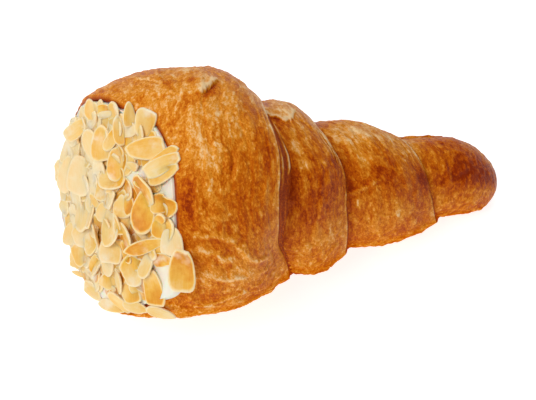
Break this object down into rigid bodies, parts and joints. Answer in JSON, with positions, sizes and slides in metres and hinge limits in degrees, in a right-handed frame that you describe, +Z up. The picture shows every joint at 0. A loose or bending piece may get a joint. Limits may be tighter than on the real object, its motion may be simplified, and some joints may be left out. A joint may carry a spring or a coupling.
{
  "type": "cream horn",
  "caption": "Horn of wound flaky pastry lying on its side, filled with cream, its open mouth covered in toasted almond flakes.",
  "frame": {"origin": "on the surface it lies on, under the middle of its bounding box", "axes": "+X from the open mouth to the closed tip, +Z up, -Y towards the viewer's near side"},
  "size_m": [0.14, 0.077, 0.0768],
  "materials": {
    "crust": "baked golden brown, glazed",
    "cream": "soft white cream",
    "almond": "thin toasted almond flakes"
  },
  "bodies": {
    "root": {"pastry": "crust", "cream": "cream"}
  },
  "joints": []
}
